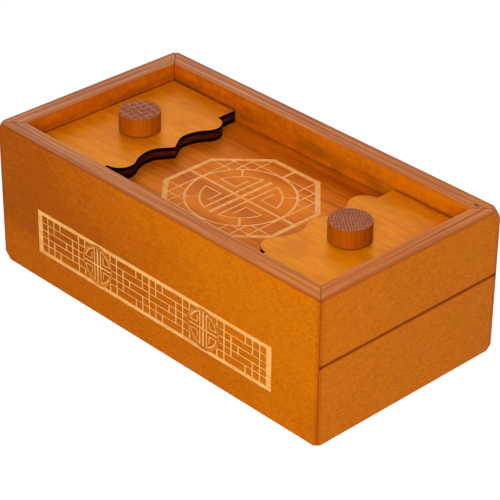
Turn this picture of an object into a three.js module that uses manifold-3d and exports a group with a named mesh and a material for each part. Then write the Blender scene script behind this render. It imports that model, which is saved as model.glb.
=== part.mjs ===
// Wooden puzzle box. A mitred case holds two knobbed plates that slide in its sunk top
// and open a flat upper compartment, and a drawer whose front looks like the lower half of one end.
// Millimetres, +Z up. The origin is the middle of the underside.
// +X points to the drawer end, -Y to the decorated long side.
import * as THREE from "three";
import { mergeVertices } from "three/addons/utils/BufferGeometryUtils.js";
import Module from "manifold-3d";

// Case
const boxLength = 170;
const boxWidth = 89;
const boxHeight = 58.5;
const wallThickness = 7.5;
const leftCornerRound = 1.6;
const nearRightCornerRound = 0.5;
const farRightCornerRound = 2.2;
const footRound = 1.4;
const rimRound = 0.8;
const grooveDepth = 2;
const grooveClearance = 0.15;
const mitreGap = 0.15;
const seatGap = 0.2;

// Levels of the case, from the rim down to the floor
const recessDepth = 7.3;
const plateThickness = 5;
const slideClearance = 0.2;
const panelThickness = 3;
const compartmentHeight = 8.3;
const dividerThickness = 2.5;
const splitGap = 0.5;
const bottomThickness = 4;

// Wells at the two ends of the medallion panel, and the ledges left beside them
const wellLength = 33;
const ledgeWidth = 7.5;

// Slide plates: their sides reach past the well, and the brace on their inner edge goes on from there.
// The brace's places across the box are shares of half the plate's width.
const plateLap = 2.3;
const cuspReach = 6.4;
const valleyReach = 1.9;
const lobeOffsetShare = 0.59;
const lobeRadiusShare = 0.168;
const valleyOffsetShare = 0.25;
const valleyRootShare = 0.22;
const endClearance = 0.3;
const sideClearance = 0.5;
const rightPlateRest = 0.6;

// Knobs
const knobDiameter = 16;
const knobAboveRim = 0.4;
const knobPlaceShare = 0.614;
const knobChamfer = 0.4;

// Battens and keepers under the slide plates
const battenWidth = 8;
const battenInset = 0.5;
const battenClearance = 0.4;
const keeperThickness = 2;
const keeperOverlapShare = 0.47;

// Screws
const screwDiameter = 2.5;
const screwHeadDiameter = 5;
const screwHeadDepth = 1.3;
const screwTipLength = 1.2;
const screwTipDiameter = 0.6;
const screwRecessWidth = 0.7;
const screwRecessDepth = 0.8;
const screwRecessLengthShare = 0.6;
const screwClearance = 0.15;
const knobScrewBite = 5;
const keeperScrewBite = 3;
const keeperScrewOffsetShare = 0.68;

// Drawer
const drawerSideThickness = 5;
const drawerFloorThickness = 2.5;
const drawerFloorRise = 2.6;
const drawerRunningClearance = 0.4;
const drawerTopClearance = 0.8;
const drawerBackClearance = 0.6;

// Magnets that hold the drawer shut
const magnetDiameter = 8;
const magnetThickness = 2;
const magnetOffsetShare = 0.54;

// Facets and the overrun of every cut
const roundSteps = 3;
const cornerSteps = 5;
const arcSteps = 8;
const knobSides = 48;
const screwSides = 20;
const magnetSides = 32;
const cutOverrun = 1;

// Places worked out from the sizes above
const innerHalfLength = boxLength / 2 - wallThickness;
const innerHalfWidth = boxWidth / 2 - wallThickness;
const plateTop = boxHeight - recessDepth;
const plateBottom = plateTop - plateThickness;
const panelTop = plateBottom - slideClearance;
const panelBottom = panelTop - panelThickness;
const dividerTop = panelBottom - compartmentHeight;
const splitHeight = dividerTop - dividerThickness;
const wellHalfWidth = innerHalfWidth - ledgeWidth;
const keeperTop = panelBottom - slideClearance;
const keeperBottom = keeperTop - keeperThickness;
const plateHalfWidth = innerHalfWidth - sideClearance;
const plateSideLength = wellLength - endClearance + plateLap;
const plateCuspLength = plateSideLength + cuspReach;
const plateValleyLength = plateSideLength + valleyReach;
const knobPlace = plateSideLength * knobPlaceShare;
const keeperScrewOffset = wellHalfWidth * keeperScrewOffsetShare;
const drawerBottom = bottomThickness + drawerRunningClearance;
const drawerTop = splitHeight - drawerTopClearance;
const drawerFloorBottom = drawerBottom + drawerFloorRise;
const drawerHalfWidth = innerHalfWidth - drawerRunningClearance;
const drawerBackFace = -innerHalfLength + drawerBackClearance;
const magnetOffset = innerHalfWidth * magnetOffsetShare;
const magnetHeight = (drawerBottom + drawerTop) / 2;

// The two long sides, by the sign of Y
const sides = { near: -1, far: 1 };

const wasm = await Module();
wasm.setup();

// A closed geometry as a solid that can be cut and joined.
function toSolid(geometry) {
  const bare = geometry.clone();
  bare.deleteAttribute("normal");
  bare.deleteAttribute("uv");
  const merged = mergeVertices(bare);
  const mesh = new wasm.Mesh({
    numProp: 3,
    vertProperties: merged.attributes.position.array,
    triVerts: new Uint32Array(merged.index.array),
  });
  return new wasm.Manifold(mesh);
}

// A solid back as a geometry.
function toGeometry(solid) {
  const mesh = solid.getMesh();
  const geometry = new THREE.BufferGeometry();
  geometry.setAttribute("position", new THREE.BufferAttribute(mesh.vertProperties, 3));
  geometry.setIndex(new THREE.BufferAttribute(mesh.triVerts, 1));
  const faceted = geometry.toNonIndexed();
  faceted.computeVertexNormals();
  return faceted;
}

// A block between two corners, each given as x, y, z.
function block(low, high) {
  const geometry = new THREE.BoxGeometry(high[0] - low[0], high[1] - low[1], high[2] - low[2]);
  geometry.translate((low[0] + high[0]) / 2, (low[1] + high[1]) / 2, (low[2] + high[2]) / 2);
  return toSolid(geometry);
}

// A plan outline raised from one level to another.
function raise(shape, bottom, top, curveSegments = arcSteps) {
  const settings = { depth: top - bottom, bevelEnabled: false, curveSegments };
  const geometry = new THREE.ExtrudeGeometry(shape, settings);
  geometry.translate(0, 0, bottom);
  return geometry;
}

function outline(points) {
  return new THREE.Shape(points.map(([x, y]) => new THREE.Vector2(x, y)));
}

// A rectangle from low to high. Its corners are rounded by low left, low right, high right and high left.
function roundedRectangle(low, high, rounds) {
  const [lowLeft, lowRight, highRight, highLeft] = rounds;
  const shape = new THREE.Shape();
  shape.absarc(low[0] + lowLeft, low[1] + lowLeft, lowLeft, Math.PI, 1.5 * Math.PI);
  shape.absarc(high[0] - lowRight, low[1] + lowRight, lowRight, -Math.PI / 2, 0);
  shape.absarc(high[0] - highRight, high[1] - highRight, highRight, 0, Math.PI / 2);
  shape.absarc(low[0] + highLeft, high[1] - highLeft, highLeft, Math.PI / 2, Math.PI);
  return shape;
}

// The outer block of the case: its rounded plan, cut by its side view and its end view
function outerBlockPlan() {
  const x = boxLength / 2;
  const y = boxWidth / 2;
  const rounds = [leftCornerRound, nearRightCornerRound, farRightCornerRound, leftCornerRound];
  const shape = roundedRectangle([-x, -y], [x, y], rounds);
  return toSolid(raise(shape, -cutOverrun, boxHeight + cutOverrun, cornerSteps));
}

// A view that stands on the table, drawn upright and carried through the whole block
function outerBlockView(width, depth, turn) {
  const half = width / 2;
  const rounds = [footRound, footRound, rimRound, rimRound];
  const shape = roundedRectangle([-half, 0], [half, boxHeight], rounds);
  const reach = depth / 2 + cutOverrun;
  const geometry = raise(shape, -reach, reach, roundSteps);
  geometry.rotateX(Math.PI / 2);
  geometry.rotateZ(turn);
  return toSolid(geometry);
}

const sideView = outerBlockView(boxLength, boxWidth, 0);
const endView = outerBlockView(boxWidth, boxLength, Math.PI / 2);
const outerBlock = outerBlockPlan().intersect(sideView).intersect(endView);

// One board of the mitred frame. It runs along X in front of the hollow,
// then it is turned about Z to its own side.
function frameBoard(halfLength, offset, turn, bottom, top) {
  const mitreShift = mitreGap / Math.SQRT2;
  const reach = wallThickness + cutOverrun;
  const inner = halfLength - mitreShift;
  const plan = outline([
    [-inner, -offset],
    [-inner - reach, -offset - reach],
    [inner + reach, -offset - reach],
    [inner, -offset],
  ]);
  const geometry = raise(plan, bottom, top);
  geometry.rotateZ(turn);
  return toSolid(geometry).intersect(outerBlock);
}

// Grooves that the flat panels sit in
const grooveReachX = innerHalfLength + grooveDepth + grooveClearance;
const grooveReachY = innerHalfWidth + grooveDepth + grooveClearance;
const bottomRebate = block(
  [-grooveReachX, -grooveReachY, -cutOverrun],
  [innerHalfLength, grooveReachY, bottomThickness + grooveClearance],
);
const dividerGroove = block(
  [-grooveReachX, -grooveReachY, splitHeight - grooveClearance],
  [grooveReachX, grooveReachY, dividerTop + grooveClearance],
);
const panelGroove = block(
  [-innerHalfLength, -grooveReachY, panelBottom - grooveClearance],
  [innerHalfLength, grooveReachY, panelTop + grooveClearance],
);

// A disc on edge, its axis along X, at the magnets' height
function disc(startX, y, diameter, thickness) {
  const geometry = new THREE.CylinderGeometry(diameter / 2, diameter / 2, thickness, magnetSides);
  geometry.rotateZ(Math.PI / 2);
  geometry.translate(startX + thickness / 2, y, magnetHeight);
  return toSolid(geometry);
}

function magnet(startX, sign) {
  return disc(startX, sign * magnetOffset, magnetDiameter, magnetThickness);
}

// Pockets for both magnets of a board, from one x along its thickness
const pocketDepth = magnetThickness + grooveClearance;

function cutMagnetPockets(solid, startX) {
  const diameter = magnetDiameter + 2 * grooveClearance;
  const depth = pocketDepth + cutOverrun;
  const nearPocket = disc(startX, sides.near * magnetOffset, diameter, depth);
  const farPocket = disc(startX, sides.far * magnetOffset, diameter, depth);
  return solid.subtract(nearPocket).subtract(farPocket);
}

// Case boards and panels
function sideWall(turn) {
  const board = frameBoard(innerHalfLength, innerHalfWidth, turn, -cutOverrun, boxHeight + cutOverrun);
  return board.subtract(bottomRebate).subtract(dividerGroove).subtract(panelGroove);
}

function leftEndWall() {
  const turn = -Math.PI / 2;
  const board = frameBoard(innerHalfWidth, innerHalfLength, turn, -cutOverrun, boxHeight + cutOverrun);
  const grooved = board.subtract(bottomRebate).subtract(dividerGroove);
  return cutMagnetPockets(grooved, -innerHalfLength - pocketDepth);
}

function rightEndWall() {
  const turn = Math.PI / 2;
  const board = frameBoard(innerHalfWidth, innerHalfLength, turn, splitHeight, boxHeight + cutOverrun);
  return board.subtract(dividerGroove);
}

function bottomPanel() {
  return block(
    [-innerHalfLength - grooveDepth, -innerHalfWidth - grooveDepth, 0],
    [innerHalfLength - seatGap, innerHalfWidth + grooveDepth, bottomThickness],
  );
}

function dividerPanel() {
  return block(
    [-innerHalfLength - grooveDepth, -innerHalfWidth - grooveDepth, splitHeight],
    [innerHalfLength + grooveDepth, innerHalfWidth + grooveDepth, dividerTop],
  );
}

function medallionPanel() {
  const halfLength = innerHalfLength - seatGap;
  const halfWidth = innerHalfWidth + grooveDepth;
  const panel = block([-halfLength, -halfWidth, panelBottom], [halfLength, halfWidth, panelTop]);
  const wellStart = innerHalfLength - wellLength;
  const wellEnd = innerHalfLength + cutOverrun;
  const low = panelBottom - cutOverrun;
  const high = panelTop + cutOverrun;
  const rightWell = block([wellStart, -wellHalfWidth, low], [wellEnd, wellHalfWidth, high]);
  const leftWell = block([-wellEnd, -wellHalfWidth, low], [-wellStart, wellHalfWidth, high]);
  return panel.subtract(rightWell).subtract(leftWell);
}

// Slide plate, in its own frame: its outer end at x = 0 and the middle of the box towards +X.
// Its inner edge is a brace: a shoulder, a lobe and a valley on each side of one middle cusp.
function slidePlateOutline() {
  const lobeX = plateSideLength;
  const lobeOffset = plateHalfWidth * lobeOffsetShare;
  const lobeRadius = plateHalfWidth * lobeRadiusShare;
  const valleyOffset = plateHalfWidth * valleyOffsetShare;
  const valleyRootRadius = plateHalfWidth * valleyRootShare;
  const rise = lobeOffset - valleyOffset;
  const valleyRadius = (rise * rise + valleyReach * valleyReach - lobeRadius * lobeRadius)
    / (2 * (lobeRadius - valleyReach));
  const valleyX = plateValleyLength + valleyRadius;
  const tangent = Math.atan2(rise, valleyX - lobeX);
  const rootX = plateValleyLength + valleyRootRadius;
  const toCusp = Math.hypot(plateCuspLength - rootX, valleyOffset);
  const cuspTurn = Math.atan2(plateCuspLength - rootX, valleyOffset);
  const rootTurn = Math.PI / 2 - cuspTurn + Math.acos(valleyRootRadius / toCusp);
  const shape = new THREE.Shape();
  shape.moveTo(0, -plateHalfWidth);
  shape.lineTo(lobeX, -plateHalfWidth);
  shape.lineTo(lobeX, -lobeOffset - lobeRadius);
  shape.absarc(lobeX, -lobeOffset, lobeRadius, -Math.PI / 2, tangent, false);
  shape.absarc(valleyX, -valleyOffset, valleyRadius, Math.PI + tangent, Math.PI, true);
  shape.absarc(rootX, -valleyOffset, valleyRootRadius, Math.PI, rootTurn, true);
  shape.lineTo(plateCuspLength, 0);
  shape.absarc(rootX, valleyOffset, valleyRootRadius, -rootTurn, -Math.PI, true);
  shape.absarc(valleyX, valleyOffset, valleyRadius, Math.PI, Math.PI - tangent, true);
  shape.absarc(lobeX, lobeOffset, lobeRadius, -tangent, Math.PI / 2, false);
  shape.lineTo(lobeX, plateHalfWidth);
  shape.lineTo(0, plateHalfWidth);
  return shape;
}

// A countersunk screw with its head's flat face down at z = 0 and its point up.
function screwProfile(length, grow) {
  const headRadius = screwHeadDiameter / 2 + grow;
  const shankRadius = screwDiameter / 2 + grow;
  return [
    new THREE.Vector2(0, 0),
    new THREE.Vector2(headRadius, 0),
    new THREE.Vector2(shankRadius, screwHeadDepth),
    new THREE.Vector2(shankRadius, length - screwTipLength),
    new THREE.Vector2(screwTipDiameter / 2 + grow, length + grow),
    new THREE.Vector2(0, length + grow),
  ];
}

function screwBody(length, grow, x, y, z) {
  const geometry = new THREE.LatheGeometry(screwProfile(length, grow), screwSides);
  geometry.rotateX(Math.PI / 2);
  geometry.translate(x, y, z);
  return toSolid(geometry);
}

function screw(length, x, y, z) {
  const half = (screwHeadDiameter * screwRecessLengthShare) / 2;
  const slot = screwRecessWidth / 2;
  const low = z - cutOverrun;
  const high = z + screwRecessDepth;
  const along = block([x - half, y - slot, low], [x + half, y + slot, high]);
  const across = block([x - slot, y - half, low], [x + slot, y + half, high]);
  return screwBody(length, 0, x, y, z).subtract(along).subtract(across);
}

const battenMiddle = battenInset + battenWidth / 2;
const knobScrewLength = plateThickness + seatGap + knobScrewBite;
const keeperScrewLength = plateBottom - keeperBottom + keeperScrewBite;

function knobScrewHole() {
  return screwBody(knobScrewLength, screwClearance, knobPlace, 0, plateBottom);
}

function keeperScrewHole(sign) {
  const y = sign * keeperScrewOffset;
  return screwBody(keeperScrewLength, screwClearance, battenMiddle, y, keeperBottom);
}

function cutKeeperScrewHoles(solid) {
  return solid.subtract(keeperScrewHole(sides.near)).subtract(keeperScrewHole(sides.far));
}

function slidePlate() {
  const plate = toSolid(raise(slidePlateOutline(), plateBottom, plateTop));
  return cutKeeperScrewHoles(plate.subtract(knobScrewHole()));
}

function knob() {
  const radius = knobDiameter / 2;
  const bottom = plateTop + seatGap;
  const top = boxHeight + knobAboveRim;
  const profile = [
    new THREE.Vector2(0, bottom),
    new THREE.Vector2(radius, bottom),
    new THREE.Vector2(radius, top - knobChamfer),
    new THREE.Vector2(radius - knobChamfer, top),
    new THREE.Vector2(0, top),
  ];
  const geometry = new THREE.LatheGeometry(profile, knobSides);
  geometry.rotateX(Math.PI / 2);
  geometry.translate(knobPlace, 0, 0);
  return toSolid(geometry).subtract(knobScrewHole());
}

function batten() {
  const half = wellHalfWidth - battenClearance;
  const low = [battenInset, -half, keeperTop + seatGap];
  const high = [battenInset + battenWidth, half, plateBottom - seatGap];
  return cutKeeperScrewHoles(block(low, high));
}

function keeper() {
  const half = wellHalfWidth + ledgeWidth * keeperOverlapShare;
  const low = [battenInset, -half, keeperBottom];
  const high = [battenInset + battenWidth, half, keeperTop];
  return cutKeeperScrewHoles(block(low, high));
}

// Drawer
const drawerFloorGroove = block(
  [
    drawerBackFace + drawerSideThickness - grooveDepth - grooveClearance,
    -drawerHalfWidth + drawerSideThickness - grooveDepth - grooveClearance,
    drawerFloorBottom - grooveClearance,
  ],
  [
    innerHalfLength + grooveDepth + grooveClearance,
    drawerHalfWidth - drawerSideThickness + grooveDepth + grooveClearance,
    drawerFloorBottom + drawerFloorThickness + grooveClearance,
  ],
);

function drawerFront() {
  const top = splitHeight - splitGap;
  const board = frameBoard(innerHalfWidth, innerHalfLength, Math.PI / 2, drawerRunningClearance, top);
  return board.subtract(drawerFloorGroove);
}

function drawerSide(sign) {
  const outer = sign * drawerHalfWidth;
  const inner = sign * (drawerHalfWidth - drawerSideThickness);
  const low = [drawerBackFace, Math.min(outer, inner), drawerBottom];
  const high = [innerHalfLength - seatGap, Math.max(outer, inner), drawerTop];
  return block(low, high).subtract(drawerFloorGroove);
}

function drawerBack() {
  const half = drawerHalfWidth - drawerSideThickness - seatGap;
  const low = [drawerBackFace, -half, drawerBottom];
  const high = [drawerBackFace + drawerSideThickness, half, drawerTop];
  const board = block(low, high).subtract(drawerFloorGroove);
  return cutMagnetPockets(board, drawerBackFace - cutOverrun);
}

function drawerFloor() {
  return block(
    [
      drawerBackFace + drawerSideThickness - grooveDepth,
      -drawerHalfWidth + drawerSideThickness - grooveDepth,
      drawerFloorBottom,
    ],
    [
      innerHalfLength + grooveDepth,
      drawerHalfWidth - drawerSideThickness + grooveDepth,
      drawerFloorBottom + drawerFloorThickness,
    ],
  );
}

// Finishes
const finishes = {
  stainedWood: { color: 0xc46a12, roughness: 0.55, metalness: 0 },
  plateWood: { color: 0xd98a2e, roughness: 0.5, metalness: 0 },
  panelWood: { color: 0xc8661c, roughness: 0.5, metalness: 0 },
  knobWood: { color: 0xa85c22, roughness: 0.6, metalness: 0 },
  plainWood: { color: 0xd9a566, roughness: 0.7, metalness: 0 },
  steel: { color: 0xb9bcc0, roughness: 0.35, metalness: 1 },
  magnet: { color: 0xc9ccd0, roughness: 0.25, metalness: 1 },
};

function piece(name, solid, finish) {
  const material = new THREE.MeshStandardMaterial(finishes[finish]);
  material.name = name + "_" + finish;
  const mesh = new THREE.Mesh(toGeometry(solid), material);
  mesh.name = name;
  return mesh;
}

// The case, its bottom, divider and medallion panel
const caseGroup = new THREE.Group();
caseGroup.add(piece("near_side_wall", sideWall(0), "stainedWood"));
caseGroup.add(piece("far_side_wall", sideWall(Math.PI), "stainedWood"));
caseGroup.add(piece("left_end_wall", leftEndWall(), "stainedWood"));
caseGroup.add(piece("right_end_wall", rightEndWall(), "stainedWood"));
caseGroup.add(piece("bottom_panel", bottomPanel(), "plainWood"));
caseGroup.add(piece("divider_panel", dividerPanel(), "plainWood"));
caseGroup.add(piece("medallion_panel", medallionPanel(), "panelWood"));

// One slide with its knob, batten, keeper and screws
function slideGroup(side) {
  const group = new THREE.Group();
  group.add(piece(side + "_slide_plate", slidePlate(), "plateWood"));
  group.add(piece(side + "_knob", knob(), "knobWood"));
  group.add(piece(side + "_knob_screw", screw(knobScrewLength, knobPlace, 0, plateBottom), "steel"));
  group.add(piece(side + "_batten", batten(), "plainWood"));
  group.add(piece(side + "_keeper", keeper(), "plainWood"));
  for (const [label, sign] of Object.entries(sides)) {
    const y = sign * keeperScrewOffset;
    const fastener = screw(keeperScrewLength, battenMiddle, y, keeperBottom);
    group.add(piece(side + "_keeper_screw_" + label, fastener, "steel"));
  }
  return group;
}

const leftSlide = slideGroup("left");
leftSlide.position.x = -innerHalfLength + endClearance;
const rightSlide = slideGroup("right");
rightSlide.position.x = innerHalfLength - endClearance - rightPlateRest;
rightSlide.rotation.z = Math.PI;

// The drawer and the magnets that hold it shut
const drawerGroup = new THREE.Group();
drawerGroup.add(piece("drawer_front", drawerFront(), "stainedWood"));
drawerGroup.add(piece("drawer_near_side", drawerSide(sides.near), "plainWood"));
drawerGroup.add(piece("drawer_far_side", drawerSide(sides.far), "plainWood"));
drawerGroup.add(piece("drawer_back", drawerBack(), "plainWood"));
drawerGroup.add(piece("drawer_floor", drawerFloor(), "plainWood"));
for (const [label, sign] of Object.entries(sides)) {
  const caseMagnet = magnet(-innerHalfLength - magnetThickness, sign);
  caseGroup.add(piece("case_magnet_" + label, caseMagnet, "magnet"));
  drawerGroup.add(piece("drawer_magnet_" + label, magnet(drawerBackFace, sign), "magnet"));
}

const puzzleBox = new THREE.Group();
puzzleBox.add(caseGroup, leftSlide, rightSlide, drawerGroup);

export default puzzleBox;
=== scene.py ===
import math

import bmesh
import bpy
from mathutils import Matrix, Vector


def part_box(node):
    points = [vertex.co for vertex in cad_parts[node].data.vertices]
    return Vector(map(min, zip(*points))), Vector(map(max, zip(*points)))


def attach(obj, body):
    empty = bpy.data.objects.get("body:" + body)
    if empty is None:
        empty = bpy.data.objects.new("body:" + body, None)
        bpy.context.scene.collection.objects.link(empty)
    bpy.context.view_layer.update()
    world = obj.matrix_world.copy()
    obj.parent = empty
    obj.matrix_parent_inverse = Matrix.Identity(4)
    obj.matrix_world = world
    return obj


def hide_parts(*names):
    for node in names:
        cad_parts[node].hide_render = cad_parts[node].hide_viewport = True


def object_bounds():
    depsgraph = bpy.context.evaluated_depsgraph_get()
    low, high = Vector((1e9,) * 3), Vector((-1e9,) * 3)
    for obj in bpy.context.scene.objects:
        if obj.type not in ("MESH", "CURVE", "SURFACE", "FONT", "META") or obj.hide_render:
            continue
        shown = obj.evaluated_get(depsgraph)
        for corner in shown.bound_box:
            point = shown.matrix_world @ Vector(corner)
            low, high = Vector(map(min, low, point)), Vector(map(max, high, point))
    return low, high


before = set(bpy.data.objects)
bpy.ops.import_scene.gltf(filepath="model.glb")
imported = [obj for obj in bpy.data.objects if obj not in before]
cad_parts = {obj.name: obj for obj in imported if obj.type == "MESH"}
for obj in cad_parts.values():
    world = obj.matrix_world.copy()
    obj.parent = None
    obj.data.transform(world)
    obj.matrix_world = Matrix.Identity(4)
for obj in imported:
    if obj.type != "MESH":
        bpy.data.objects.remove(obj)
cad_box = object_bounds()

bl_info = {
    "name": "Puzzle Box",
    "version": (1, 0, 0),
    "blender": (4, 5, 0),
    "location": "3D View > Sidebar > Puzzle Box",
    "description": "Dresses the packed puzzle box with eased boards, ornament and wood finishes",
    "category": "Object",
}

MM = 0.001
WELD = 0.002 * MM                # points closer than this are one point
FLAT = math.radians(0.5)         # triangles that turn less than this are one flat face
SHARP = math.radians(40)
UP = Vector((0, 0, 1))
NEAR = Vector((0, -1, 0))
WHITE = (1.0, 1.0, 1.0)
AXES = {"X": 0, "Y": 1, "Z": 2}
ENDS = ("left", "right")
WAYS = (-1, 1)
QUARTERS = ((-1, -1), (-1, 1), (1, -1), (1, 1))

case_low, case_high = cad_box
rim_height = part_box("near_side_wall")[1].z
split_level = (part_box("drawer_front")[1].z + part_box("right_end_wall")[0].z) / 2
panel_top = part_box("medallion_panel")[1].z
plate_low, plate_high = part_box("left_slide_plate")


def paint(red, green, blue):
    """A colour as it shows on a screen, 0 to 255, turned into the linear one that a shader takes."""
    def linear(value):
        share = value / 255
        return share / 12.92 if share <= 0.04045 else ((share + 0.055) / 1.055) ** 2.4
    return linear(red), linear(green), linear(blue)


def darker(tone, share):
    return tuple(share * part for part in tone)


def amount(label, text, value, unit="NONE"):
    return bpy.props.FloatProperty(name=label, description=text, default=value, unit=unit)


def length(label, text, millimetres):
    return amount(label, text, millimetres * MM, "LENGTH")


def share(label, text, value):
    return bpy.props.FloatProperty(
        name=label, description=text, default=value, min=0, max=1, subtype="FACTOR",
    )


def colour(label, text, *screen):
    return bpy.props.FloatVectorProperty(
        name=label, description=text, default=paint(*screen), size=3, min=0, max=1, subtype="COLOR",
    )


def corner(label, upright, foot, top):
    """How round one corner of the case is: its upright edge, then the tips at its foot and its rim."""
    return bpy.props.FloatVectorProperty(
        name=label, description="Rounding of the upright edge, and reach of the lower and upper tip",
        default=(upright * MM, foot * MM, top * MM), size=3, subtype="XYZ", unit="LENGTH",
    )


# Sizes and colours

class CaseSettings(bpy.types.PropertyGroup):
    rim_ease: length("Rim easing", "Rounding of the rim's inner edge", 0.4)
    split_ease: length("Split easing", "Rounding of the edges beside the split line", 0.2)
    near_left: corner("Near left corner", 0.6, 2.6, 2.3)
    far_left: corner("Far left corner", 1.0, 2.0, 1.4)
    near_right: corner("Near right corner", 0.8, 1.5, 1.0)
    far_right: corner("Far right corner", 0.3, 1.8, 3.0)
    front_gap: length("Front gap", "Gap under the drawer's front", 0.1)
    rim_round: length("Rim rounding", "Rounding of the rim's outer edge", 0.35)
    foot_round: length("Foot rounding", "Rounding of the lower outer edge", 0.12)
    tip_round: share("Tip rounding", "Rounding round a cut tip, as a share of its reach", 0.38)
    inner_ease: length("Inner easing", "Rounding of the edges of the hidden boards", 0.25)
    ply: length("Ply", "Thickness of one ply", 1.3)
    # The outer tones below are blended by painted light as well as by grain.
    stain: colour("Stain", "Middle tone of the outer faces", 186, 93, 1)
    stain_deep: colour("Deep stain", "Darker tone of the outer faces", 164, 78, 2)
    stain_bright: colour("Bright stain", "Lighter tone of the outer faces", 199, 106, 1)
    stain_end: colour("End stain", "Middle tone of the two ends", 194, 102, 3)
    # Also laid as painted shade beside the mitres.
    edge_stain_and_shade: colour("Edge stain", "Stain gathered along the edges", 140, 50, 2)
    # Also laid as blotches and painted shade lines at the foot of the inner walls.
    joint: colour("Joint", "Scorched faces inside the mitres and the split", 92, 34, 4)
    inside: colour("Inner stain", "Inner faces above the panel", 206, 112, 1)
    inside_deep: colour("Deep inner stain", "Darker tone of the inner faces", 176, 82, 1)
    rim: colour("Rim", "Middle tone of the rim", 182, 98, 36)
    rim_dark: colour("Rim dark ply", "Darker plies of the rim", 148, 70, 34)
    rim_pale: colour("Rim pale ply", "Lighter plies of the rim", 214, 130, 48)
    # Painted shade on the rim's rounded outer edge.
    rim_outer_shade: colour("Rim's outer edge", "Stain on the rounded outer edge", 150, 68, 12)
    crack: colour("Ply void", "Thin gap in one ply of the far rim", 92, 28, 4)
    bare: colour("Bare wood", "Unstained wood inside", 214, 172, 118)
    bare_dark: colour("Bare wood grain", "Grain of the unstained wood", 176, 128, 78)


class StripSettings(bpy.types.PropertyGroup):
    middle: length("Middle", "Middle of the strip along the box", -0.45)
    height: length("Height", "Middle of the strip above the table", 20.7)
    span: length("Span", "Whole length of the strip", 125.9)
    tall: length("Tall", "Whole height of the strip", 18.6)
    end_border: length("End border", "Width of the border at both ends", 2.7)
    long_border: length("Long border", "Width of the border along the strip", 1.8)
    pitch: length("Pitch", "Distance between lattice columns", 3.57)
    upright: length("Upright line", "Width of the upright lattice lines", 0.8)
    level: length("Level line", "Width of the level lattice lines", 0.6)
    ring: length("Ring", "Outer radius of the ring round a roundel", 8.4)
    figure: length("Figure", "Radius of the figure in a roundel", 7.2)
    depth: length("Depth", "Depth of the engraving", 0.14)
    ring_depth: length("Ring depth", "Depth of the ring round a roundel", 0.05)
    slant: amount("Slant", "How far the strip leans down to the right, in degrees", 0.34)
    pale: colour("Pale wood", "Bare wood in the engraved lines", 246, 184, 106)
    pale_dark: colour("Pale grain", "Grain in the engraved lines", 226, 154, 76)
    ring_tone: colour("Ring stain", "Lightly scorched ring round a roundel", 206, 124, 34)
    ring_deep: colour("Ring grain", "Grain in the ring", 178, 96, 18)
    scorch: colour("Scorch", "Burnt side faces of the engraving", 112, 50, 8)


class MedallionSettings(bpy.types.PropertyGroup):
    middle_x: length("Middle along", "Middle of the medallion along the box", 1.4)
    middle_y: length("Middle across", "Middle of the medallion across the box", -1.3)
    flats: length("Across flats", "Size of the octagon", 57.7)
    border: length("Border", "Width of the octagon's border", 2.1)
    circle: length("Circle", "Radius of the circle", 20.6)
    circle_line: length("Circle line", "Width of the circle's line", 1.1)
    figure: length("Figure", "Radius of the round figure", 15.6)
    line: length("Lattice line", "Width of the lattice lines", 0.9)
    depth: length("Depth", "Depth of the engraving", 0.14)
    pale: colour("Pale wood", "Wood in the engraved lines", 234, 170, 104)
    pale_dark: colour("Pale grain", "Grain in the engraved lines", 224, 146, 72)


class PlateSettings(bpy.types.PropertyGroup):
    ease: length("Easing", "Rounding of the plates' edges", 0.15)
    honey: colour("Honey", "Middle tone of the plates", 226, 134, 3)
    honey_deep: colour("Deep honey", "Grain of the plates", 206, 110, 2)
    char: colour("Charred edge", "Laser-darkened outer plies", 10, 1, 1)
    char_ply: colour("Charred ply", "Lighter ply in the middle of the edge", 92, 34, 14)
    panel: colour("Panel", "Middle tone of the medallion panel", 220, 116, 2)
    panel_deep: colour("Panel grain", "Dark grain of the medallion panel", 170, 74, 1)


class KnobSettings(bpy.types.PropertyGroup):
    base_ease: length("Base easing", "Rounding of the knob's lower edge", 0.3)
    top_ease: length("Top easing", "Rounding of the knob's upper edge", 0.2)
    hole: length("Screw hole", "Radius of the screw hole", 1.4)
    hole_depth: length("Screw hole depth", "Depth of the straight part of the hole", 3.8)
    hole_tip: length("Screw hole tip", "Depth of the hole's pointed end", 1.35)
    side: colour("Side", "Stain of the knob's side", 163, 79, 2)
    side_dark: colour("Side grain", "Upright grain of the side", 136, 60, 2)
    end_grain: colour("End grain", "Dark sawn end grain", 138, 62, 18)
    saw_line: colour("Saw line", "Pale saw marks on the end grain", 208, 138, 92)


class StageSettings(bpy.types.PropertyGroup):
    eye: bpy.props.FloatVectorProperty(
        name="Camera place", description="Where the camera stands",
        default=(0.50034436, -0.47351684, 0.43758062), subtype="TRANSLATION", unit="LENGTH",
    )
    turn: bpy.props.FloatVectorProperty(
        name="Camera turn", description="How the camera is turned",
        default=[math.radians(angle) for angle in (58.91435746, -0.43408229, 46.55024289)],
        subtype="EULER", unit="ROTATION",
    )
    lens: amount("Lens", "Focal length on a 36 mm sensor", 156.95, "CAMERA")
    sky: amount("Sky", "Strength of the light from the white surroundings", 0.42)
    key: amount("Key lamp", "Power of the large lamp beside the camera", 7.0, "POWER")
    back: amount("Back lamp", "Power of the large lamp behind the box", 2.6, "POWER")
    floor: length("Floor", "Half the floor's width", 4000)
    floor_grey: colour("Floor colour", "Colour that the floor throws back on the box", 178, 178, 178)
    shadow: share("Shadow", "Share of the floor's look that keeps the box's shadow", 0.38)
    glow: amount("Glow", "Strength of the rest of the floor's look", 1.2)


# Shader nodes

def both_ways(operation):
    """An operator that adds a Math node, and its reflected form."""
    return (
        lambda value, other: value.math(operation, value, other),
        lambda value, other: value.math(operation, other, value),
    )


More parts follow.
